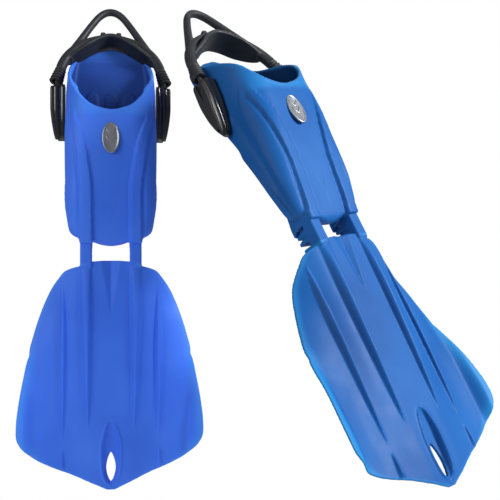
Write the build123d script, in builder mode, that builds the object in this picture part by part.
from build123d import *
import os
from math import cos, degrees, pi, radians, sin, sqrt, tan

os.makedirs("parts", exist_ok=True)

# Swim fins: one pair of open heel, pivoting blade fins with bungee heel straps.
# Each fin is drawn in its own frame, in millimetres: X across the foot, Z from the
# blade tip to the heel, Y from the instep side (minus) to the sole side (plus).
# The frame's origin lies in the foot pocket, on the centre line, level with the instep rim.

# foot pocket
POCKET_HALF_WIDTH = 61.0
WALL = 4.0
SOLE_WALL = 6.0
HEEL_END = 97.0
TOE_END = -182.0
TOE_WALL = 7.0
INSTEP_HEIGHT = 19.0
SPLIT_X = 46.0

# hinge rails between pocket and blade
RAIL_X = 33.0
RAIL_WIDTH = 16.0
RAIL_TOP = 2.0
RAIL_BAR_DEPTH = 15.0
RAIL_START = -176.0
RAIL_END = -209.0
KEEL_DEPTH = 33.0
TOOTH_DEPTH = 29.0

# blade
BLADE_ROOT = -202.0
BLADE_TIP = -510.0
BLADE_HALF_WIDTH = 124.0
BLADE_THICK = 4.0
RIB_HEIGHT = 6.0

# strap hardware
POST_Y = 40.0
POST_Z = -21.0
POST_RADIUS = 4.5
BUCKLE_IN = 62.2
BUCKLE_OUT = 78.0
COVER_OUT = 81.8
BUCKLE_TOP = 38.0
CORD_X = 71.0
CORD_RADIUS = 3.0
SLEEVE_RADIUS = 8.0
STRAP_RADIUS = 6.2
LOOP_RADIUS = 5.0
PAD_HALF_HEIGHT = 16.0


def pocket_shape(inset, floor_inset, z_low, z_high):
    """Closed shoe shape: rounded sections lofted from toe to heel, made smaller by an inset."""
    levels = [
        (-186.0, 59.0, 0.0, 17.0, 8.0, 6.0),
        (-160.0, 60.0, 4.0, 21.0, 12.0, 7.0),
        (-119.0, 60.5, 9.0, 28.0, 19.0, 9.0),
        (-60.0, 61.0, 15.0, 45.0, 27.0, 14.0),
        (0.0, 61.0, 19.0, 65.0, 33.0, 18.0),
        (102.0, 61.0, 22.0, 85.0, 34.0, 20.0),
    ]
    with BuildPart() as shape:
        for z, half, top, bottom, top_round, bottom_round in levels:
            height = top + bottom - inset - floor_inset
            middle = (bottom - floor_inset - top + inset) / 2
            with BuildSketch(Plane.XY.offset(z)) as section:
                with Locations((0, middle)):
                    Rectangle(2 * (half - inset), height)
                rows = section.vertices().group_by(Axis.Y)
                fillet(rows[0], max(top_round - inset, 2.0))
                rows = section.vertices().sort_by(Axis.Y)[-2:]
                fillet(rows, max(bottom_round - inset, 2.0))
        loft()
        with BuildSketch(Plane.XZ) as keep:
            with Locations((0, (z_low + z_high) / 2)):
                Rectangle(200, z_high - z_low)
        extrude(amount=200, both=True, mode=Mode.INTERSECT)
    return shape.part


def plan_prism(points, low, high):
    """Prism over a plan outline in X and Z, from one Y level to another."""
    with BuildPart() as prism:
        with BuildSketch(Plane.XZ.offset(-high)):
            with BuildLine():
                Polyline(*points, close=True)
            make_face()
        extrude(amount=high - low)
    return prism.part


def side_prism(points, x_low, x_high):
    """Prism over a side outline given as (z, y) points, from one X level to another."""
    with BuildPart() as prism:
        with BuildSketch(Plane.YZ.offset(x_low)):
            with BuildLine():
                Polyline(*[(y, z) for z, y in points], close=True)
            make_face()
        extrude(amount=x_high - x_low)
    return prism.part


def pocket_outline(inset, top):
    """Plan outline of the pocket: round heel, straight sides and a blunt round toe."""
    side = POCKET_HALF_WIDTH + 1.0 - inset
    toe = TOE_END + (TOE_WALL if inset else 0.0)
    with BuildPart() as prism:
        with BuildSketch(Plane.XZ.offset(-120)):
            with BuildLine():
                Line((side, -125), (side - 2, 20))
                heel = [(side - 2, 20), (side - 4, 46), (side - 6.5, 62), (48 - inset, top - 25),
                        (34 - inset, top - 17), (17 - inset, top - 5)]
                Spline(*heel, (0, top), *[(-x, z) for x, z in reversed(heel)], tangents=[(0, 1), (0, -1)])
                Line((2 - side, 20), (-side, -125))
                Spline((-side, -125), (-side + 6, toe + 24), (-side + 20, toe + 9), (0, toe),
                       (side - 20, toe + 9), (side - 6, toe + 24), (side, -125),
                       tangents=[(0, -1), (0, 1)])
            make_face()
        extrude(amount=240)
    return prism.part


def rim_cut():
    """Space above the side walls and behind the instep rim that is left open for the foot."""
    with BuildPart() as cut:
        with BuildSketch(Plane.XZ.offset(-130)):
            with BuildLine():
                Spline((-70, 62), (-52, 35), (-41, 17), (-21, 1), (0, -3), (21, 1), (41, 17), (52, 35), (70, 62))
                Polyline((70, 62), (70, 130), (-70, 130), (-70, 62))
            make_face()
        extrude(amount=260)
        with BuildSketch(Plane.YZ.offset(-90)):
            with BuildLine():
                Spline((-40, -4), (-19, 0), (-8, 17), (13, 36), (44, 55), (66, 68), (78, 84), (81, 102))
                Polyline((81, 102), (81, 140), (-40, 140), (-40, -4))
            make_face()
        extrude(amount=180, mode=Mode.INTERSECT)
    return cut.part


def foot_pocket():
    """Moulded shoe with an open heel, side rails on its instep and hinge keels under the rails."""
    outer = pocket_shape(0, 0, -186, 102) & pocket_outline(0, HEEL_END)
    hollow = pocket_shape(WALL, SOLE_WALL, -176, 102) & pocket_outline(WALL, HEEL_END + 20)
    with BuildPart() as pocket:
        add(outer)
        add(hollow, mode=Mode.SUBTRACT)
        add(rim_cut(), mode=Mode.SUBTRACT)
        for side in (-1, 1):
            plan = [(25, RAIL_START), (26, -120), (29, -67), (34, -34), (43, -8), (50, -10),
                    (47, -34), (43, -67), (41.5, -120), (41, RAIL_START)]
            crest = [(RAIL_START, -6), (-120, -12), (-67, -11), (-34, -6), (-8, 6), (-8, 14),
                     (-67, 4), (-120, 2), (RAIL_START, 13)]
            rail = plan_prism([(side * x, z) for x, z in plan], -40, 60)
            add((rail & side_prism(crest, -90, 90)) - hollow)
            keel = [(-140, 20), (-152, 29), (-187, KEEL_DEPTH), (-180, 13), (RAIL_START, 13),
                    (RAIL_START, 1), (-168, 1), (-160, 12), (-148, 17)]
            low = RAIL_X - RAIL_WIDTH / 2
            high = RAIL_X + RAIL_WIDTH / 2
            add(side_prism(keel, min(side * low, side * high), max(side * low, side * high)) - hollow)
        for side in (-1, 1):
            with Locations((side * RAIL_X, 0.5, RAIL_START - 10)):
                Box(RAIL_WIDTH + 0.4, 25, 20, mode=Mode.SUBTRACT)
        for side in (-1, 1):
            boss = Plane(origin=(side * 56, POST_Y, POST_Z), z_dir=(side, 0, 0))
            with BuildSketch(boss):
                Circle(11)
            extrude(amount=5.6)
            with BuildSketch(boss):
                Circle(POST_RADIUS)
            extrude(amount=7, mode=Mode.SUBTRACT)
    return pocket.part


def blade_sheet():
    """Blade panel: flat down the middle, falling away at the shoulders, curled up at the corners."""
    stations = [0, 25, 41, 65, 85, 104, 130]
    levels = [
        (-196.0, [0, 0, 1, 11, 26, 35, 46]),
        (-241.0, [0, 0, 2, 12, 26, 36, 46]),
        (-288.0, [0, 0, 2, 11, 18, 26, 38]),
        (-335.0, [0, 0, 2, 9, 13, 17, 24]),
        (-389.0, [0, 0, 2, 7.5, 9.5, 9, 0]),
        (-442.0, [0, 0, 2, 6, 8, 7, -6]),
        (-488.0, [1, 1, 3, 5, 7, 8, 0]),
        (-516.0, [3, 3, 4, 5, 7, 8, 6]),
    ]
    with BuildPart() as sheet:
        for z, drops in levels:
            right = [(x, y) for x, y in zip(stations, drops)]
            left = [(-x, y) for x, y in right[:0:-1]]
            upper = left + right
            lower = [(x, y + BLADE_THICK) for x, y in reversed(upper)]
            with BuildSketch(Plane.XY.offset(z)):
                with BuildLine():
                    Polyline(*(upper + lower), close=True)
                make_face()
        loft(ruled=True)
    return sheet.part


def blade_outline():
    """Plan outline of the blade, wide at the square corners with a shallow point at the tip."""
    right = [(24, -203), (40.5, -209), (52, -212), (62, -216), (68, -225), (81, -242), (94, -273),
             (104, -305), (111, -338), (116, -364), (121, -390), (124, -424), (124, -436),
             (121, -446), (112, -458), (98, -469), (84, -475), (58, -484), (36, -493), (18, -502), (0, BLADE_TIP)]
    left = [(-x, z) for x, z in right[-2::-1]]
    return plan_prism(right + left + [(-12, BLADE_ROOT), (12, BLADE_ROOT)], -40, 90)


def tapered_rib(plan, crest):
    """Rib with a tapering plan and a sloping crest."""
    return plan_prism(plan, -60, 90) & side_prism(crest, -140, 140)


def blade():
    """Blade with long main ribs, short outer ribs, a root groove, and a slot in a raised lens."""
    with BuildPart() as body:
        add(blade_sheet() & blade_outline())
        for side in (-1, 1):
            plan = [(25, RAIL_END), (41, RAIL_END), (39, -260), (34.5, -421), (31, -421), (28, -260)]
            crest = [(RAIL_END, -2), (-260, -6), (-421, -1), (-421, 4), (-260, 12), (-222, 28), (RAIL_END, 28)]
            add(tapered_rib([(side * x, z) for x, z in plan], crest))
            plan = [(63.5, -232), (67, -300), (66, -436), (64, -436), (62, -300)]
            crest = [(-232, 10), (-300, 5), (-436, 4), (-436, 9), (-300, 13), (-232, 15)]
            add(tapered_rib([(side * x, z) for x, z in plan], crest))
            plan = [(62.5, -449), (68, -449), (67.5, -482), (63, -482)]
            crest = [(-449, 2), (-482, 3), (-482, 8), (-449, 9)]
            add(tapered_rib([(side * x, z) for x, z in plan], crest))
            notch = plan_prism([(side * x, z) for x, z in [(24.5, -190), (41.5, -190), (41.5, RAIL_END), (24.5, RAIL_END)]], -40, 90)
            add(notch, mode=Mode.SUBTRACT)
        lens = [(0, -418), (6, -430), (11, -445), (12.5, -458), (11, -475), (6, -492), (0, -505)]
        outline = lens + [(-x, z) for x, z in lens[-2:0:-1]]
        add(tapered_rib(outline, [(-415, -2), (-460, -3), (-505, 1), (-505, 6), (-415, 4)]))
        groove = [(10, -196), (-10, -196), (0, -278)]
        add(plan_prism(groove, -20, 2), mode=Mode.SUBTRACT)
        with BuildSketch(Plane.XZ.offset(-60)):
            with Locations((0, -479)):
                SlotOverall(40, 11, rotation=90)
        extrude(amount=120, mode=Mode.SUBTRACT)
    return body.part


def hinge_rail(side):
    """Flexible rail that joins pocket and blade: a bar with two bumper teeth under it."""
    bar = [(RAIL_START, -RAIL_TOP), (RAIL_END, 0), (RAIL_END, 28), (-204.5, 28.5), (-202.5, 14), (-198, 14),
           (-199.5, TOOTH_DEPTH), (-193.5, TOOTH_DEPTH + 1), (-190.5, 14), (-184, 13), (RAIL_START, 13)]
    with BuildPart() as rail:
        add(side_prism(bar, side * RAIL_X - RAIL_WIDTH / 2 + 0.2, side * RAIL_X + RAIL_WIDTH / 2 - 0.2))
    return rail.part


def badge():
    """Plain oval emblem plate that lies on the instep."""
    with BuildPart() as plate:
        tilt = Plane(origin=(0, -17.4, -39), x_dir=(1, 0, 0), z_dir=(0, -1, -0.068))
        with BuildSketch(tilt):
            Ellipse(11.5, 20.5)
        extrude(amount=1.6)
        chamfer(plate.faces().sort_by(Axis.Y)[0].edges(), 0.5)
    return plate.part


def strap_post(side):
    """Button headed post that stands on the pocket wall and carries the buckle."""
    with BuildPart() as post:
        with BuildSketch(Plane(origin=(side * 57.4, POST_Y, POST_Z), z_dir=(side, 0, 0))):
            Circle(POST_RADIUS)
        extrude(amount=12.8)
        with BuildSketch(Plane(origin=(side * 70.2, POST_Y, POST_Z), z_dir=(side, 0, 0))):
            Circle(6.5)
        extrude(amount=2.0)
    return post.part


def buckle_shape(grow, x_in, x_out, reach):
    """Flat pear shape of the buckle: side outline crossed with the curved outer side."""
    side = [(BUCKLE_TOP, 31), (35, 28), (15, 26.5), (-8, 29), (-26, 33.5), (-36, 37.5), (-38, 41),
            (-36, 45), (-26, 49), (-8, 52.5), (15, 54), (33, 53), (BUCKLE_TOP, 50)]
    middle_y = 40.5
    scaled = [(z * (1 + grow / 38), middle_y + (y - middle_y) * (1 + grow / 13)) for z, y in side]
    front = [(x_in, 60), (x_out, 60), (x_out, 8), (x_out - 1.2, -8), (x_out - reach / 2, -24), (x_out - reach, -40), (x_in, -40)]
    return side_prism(scaled, x_in, x_out) & plan_prism(front, 0, 80)


def buckle_body():
    """Glossy buckle housing on the plus X side: bore for the post and a blind channel for the cord."""
    with BuildPart() as body:
        add(buckle_shape(0, BUCKLE_IN, BUCKLE_OUT, 7.0))
        with BuildSketch(Plane(origin=(BUCKLE_IN - 1, POST_Y, POST_Z), z_dir=(1, 0, 0))):
            Circle(POST_RADIUS + 0.1)
        extrude(amount=9, mode=Mode.SUBTRACT)
        with BuildSketch(Plane(origin=(69.6, POST_Y, POST_Z), z_dir=(1, 0, 0))):
            Circle(7.0)
        extrude(amount=12, mode=Mode.SUBTRACT)
        with Locations((CORD_X, POST_Y, 26)):
            Cone(CORD_RADIUS + 0.6, 6.4, 28, mode=Mode.SUBTRACT)
        with BuildSketch(Plane(origin=(CORD_X, POST_Y, 2))):
            Circle(5.4)
        extrude(amount=10.2, mode=Mode.SUBTRACT)
    return body.part


def buckle_cover():
    """Matte outer face of the buckle with a tapering slot at its top and a small square hole."""
    with BuildPart() as cover:
        add(buckle_shape(-2.2, 60, COVER_OUT, 7.0) - buckle_shape(6, 50, BUCKLE_OUT, 7.0))
        slot = [(BUCKLE_TOP, 37), (BUCKLE_TOP, 44), (14, 41.5), (8, 41)]
        add(side_prism(slot, 79.6, 90), mode=Mode.SUBTRACT)
        with Locations((80, 41, -30)):
            Box(30, 3.6, 3.6, mode=Mode.SUBTRACT)
    return cover.part


def cord_anchor():
    """Ferrule crimped on the end of the cord inside the buckle."""
    with BuildPart() as ferrule:
        with Locations((CORD_X, POST_Y, 7.2)):
            Cylinder(5.1, 8.0)
            Cylinder(CORD_RADIUS + 0.5, 8.0, mode=Mode.SUBTRACT)
    return ferrule.part


def strap_plane(tilt, roll, slip):
    """Plane of the heel strap: X along the strap, Y away from the buckles."""
    across = Vector(cos(radians(roll)), 0, sin(radians(roll)))
    up = Vector(-sin(radians(roll)), 0, cos(radians(roll)))
    away = up * cos(radians(tilt)) + Vector(0, sin(radians(tilt)), 0)
    corner = Vector(-SLEEVE_FOOT[0], POST_Y, SLEEVE_FOOT[1])
    return Plane(origin=corner + across * SLEEVE_FOOT[0] + away * slip, x_dir=across, z_dir=across.cross(away))


SLEEVE_FOOT = (73.0, 43.0)
STRAP_PATH = [(73, 0), (67, 27), (51, 55), (22, 79.5)]
SLEEVE_LENGTH = 24.0


def corner_radii(points):
    """Radius of each corner's arc: as large as the two runs beside it allow."""
    radii = []
    for before, here, after in zip(points, points[1:], points[2:]):
        arriving = Vector(*here) - Vector(*before)
        leaving = Vector(*after) - Vector(*here)
        turn = radians(arriving.get_angle(leaving))
        radii.append(0.45 * min(arriving.length, leaving.length) / tan(turn / 2))
    return radii


def tube_along(points, radii, outer, inner):
    """Round tube along straight runs joined by arcs, solid when the inner radius is zero."""
    with BuildPart() as tube:
        with BuildLine() as route:
            FilletPolyline(*points, radius=radii)
        start = Plane(origin=route.wire() @ 0, z_dir=route.wire() % 0)
        with BuildSketch(start):
            Circle(outer)
            if inner:
                Circle(inner, mode=Mode.SUBTRACT)
        sweep(path=route.wire())
    return tube.part


def strap_route():
    """Route of the cord inside the strap, in the strap's plane, with its corner radii."""
    route = [(x, s, 0) for x, s in STRAP_PATH]
    route += [(-x, s, 0) for x, s in reversed(STRAP_PATH)]
    return route, corner_radii(route)


def heel_strap():
    """Moulded rubber strap that sheathes the cord behind the heel, between the two bellows."""
    route, radii = strap_route()
    foot = Vector(*STRAP_PATH[0])
    along = (Vector(*STRAP_PATH[1]) - foot).normalized()
    end = foot + along * SLEEVE_LENGTH
    with BuildPart() as strap:
        add(tube_along(route, radii, STRAP_RADIUS, CORD_RADIUS + 0.3))
        split(bisect_by=Plane(origin=end, z_dir=along), keep=Keep.TOP)
        split(bisect_by=Plane(origin=(-end.X, end.Y, 0), z_dir=(-along.X, along.Y, 0)), keep=Keep.TOP)
    return strap.part


def bellows():
    """Ribbed rubber sleeve on the plus X end of the strap."""
    foot = Vector(*STRAP_PATH[0])
    knee = Vector(*STRAP_PATH[1])
    along = (knee - foot).normalized()
    ring = SLEEVE_LENGTH / 5
    profile = [(CORD_RADIUS + 1.6, 0)]
    for k in range(5):
        profile += [(SLEEVE_RADIUS + 0.9 - 0.25 * k, k * ring), (SLEEVE_RADIUS + 0.9 - 0.25 * k, k * ring + 3.0),
                    (SLEEVE_RADIUS - 1.6, k * ring + 3.6), (SLEEVE_RADIUS - 1.6, k * ring + ring)]
    profile += [(CORD_RADIUS + 1.6, SLEEVE_LENGTH)]
    with BuildPart() as sleeve:
        with BuildSketch(Plane.XZ):
            with BuildLine():
                Polyline(*profile, close=True)
            make_face()
        revolve(axis=Axis.Z)
    frame = Plane(origin=foot, z_dir=along)
    return frame.location * sleeve.part


def largest(solid):
    """The biggest of the pieces that a cut leaves."""
    return solid.solids().sort_by(SortBy.VOLUME)[-1]


def pull_loop(strap, pad):
    """Finger loop that grows out of the strap's outer side."""
    right = [(56, 46), (46, 66), (33, 90), (18, 117), (7, 126.5)]
    route = right + [(-x, s) for x, s in reversed(right)]
    radii = corner_radii([(x, s, 0) for x, s in route])
    return largest(tube_along([(x, s, 0) for x, s in route], radii, LOOP_RADIUS, 0) - strap - pad)


def heel_pad(strap):
    """Wide soft pad on the strap's inner side, where it bears on the heel."""
    right = [(15, 73), (30, 62.8), (42, 54.8), (54, 46.5)]
    upper = [(-x, s) for x, s in reversed(right)] + [(0, 77)] + right
    lower = [(x * 0.97, s - 6) for x, s in reversed(upper)]
    reach = PAD_HALF_HEIGHT
    half_lens = [(0, reach), (25, reach - 1.5), (42, reach - 5), (56, 4), (56, -5), (50, 4.5 - reach),
                 (42, 1.5 - reach), (25, 0.5 - reach), (0, -reach)]
    lens = half_lens + [(-x, n) for x, n in half_lens[-2:0:-1]]
    with BuildPart() as pad:
        with BuildSketch():
            with BuildLine():
                Spline(*upper)
                Line(upper[-1], lower[0])
                Spline(*lower)
                Line(lower[-1], upper[0])
            make_face()
        extrude(amount=PAD_HALF_HEIGHT + 1, both=True)
        with BuildSketch(Plane.XZ.offset(-90)):
            with BuildLine():
                Polyline(*lens, close=True)
            make_face()
        extrude(amount=90, mode=Mode.INTERSECT)
    return largest(pad.part - strap)


def bungee_cord(plane):
    """Elastic cord: out of one buckle, through the strap, into the other buckle."""
    inner, inner_radii = strap_route()
    route = [Vector(CORD_X, POST_Y, 3.2)]
    route += [plane.from_local_coords(Vector(*point)) for point in inner]
    route += [Vector(-CORD_X, POST_Y, 3.2)]
    points = [(p.X, p.Y, p.Z) for p in route]
    radii = corner_radii(points)
    radii = [min(radii[0], 20.0)] + inner_radii + [min(radii[-1], 20.0)]
    print("cord radii", [round(r, 1) for r in radii])
    return tube_along(points, radii, CORD_RADIUS, 0)


def pocket_pieces(pocket):
    """The shoe divided at the foot's width and just above the inner sole."""
    under = [(-200, 10), (-160, 13), (-119, 19.5), (-60, 36), (0, 56), (110, 78), (110, 130), (-200, 130)]
    sole = side_prism(under, -90, 90)
    middle = plan_prism([(-SPLIT_X, -200), (SPLIT_X, -200), (SPLIT_X, 120), (-SPLIT_X, 120)], -60, 130)
    left = plan_prism([(-90, -200), (-SPLIT_X, -200), (-SPLIT_X, 120), (-90, 120)], -60, 130)
    right = mirror(left, about=Plane.YZ)
    upper = pocket - sole
    return {"sole": pocket & sole, "instep": upper & middle, "left_side_wall": upper & left,
            "right_side_wall": upper & right}


def save(prefix, name, solid, place):
    """Label one piece, move it from the fin's frame to its place in the pair, and write it."""
    with BuildPart() as piece:
        add(place * solid)
    piece.part.label = prefix + name
    print(piece.part.label, round(piece.part.volume / 1000, 2), "cm3", len(piece.part.solids()), piece.part.is_valid)
    export_step(piece.part, "parts/" + prefix + name + ".step")


def fin(prefix, place, plane):
    """All pieces of one fin."""
    for name, solid in pocket_pieces(foot_pocket()).items():
        save(prefix, name, solid, place)
    save(prefix, "blade", blade(), place)
    save(prefix, "badge", badge(), place)
    save(prefix, "left_hinge_rail", hinge_rail(-1), place)
    save(prefix, "right_hinge_rail", hinge_rail(1), place)
    strap = heel_strap()
    pad = heel_pad(strap)
    for name, side in (("right_", 1), ("left_", -1)):
        for piece, solid in [("buckle_body", buckle_body()), ("buckle_cover", buckle_cover()), ("cord_anchor", cord_anchor())]:
            save(prefix, name + piece, solid if side > 0 else mirror(solid, about=Plane.YZ), place)
        save(prefix, name + "strap_post", strap_post(side), place)
        sleeve = bellows()
        save(prefix, name + "bellows", sleeve if side > 0 else mirror(sleeve, about=Plane.YZ), place * plane.location)
    save(prefix, "heel_strap", strap, place * plane.location)
    save(prefix, "pull_loop", pull_loop(strap, pad), place * plane.location)
    save(prefix, "heel_pad", pad, place * plane.location)
    save(prefix, "bungee_cord", bungee_cord(plane), place)


LEFT_PLACE = Location((0, 0, 0))
RIGHT_PLACE = Location((200.5, -125.4, 10.0), (-19.71, -19.29, 27.78))

fin("left_fin_", LEFT_PLACE, strap_plane(26, 0, 0))
fin("right_fin_", RIGHT_PLACE, strap_plane(14, 3, 1))
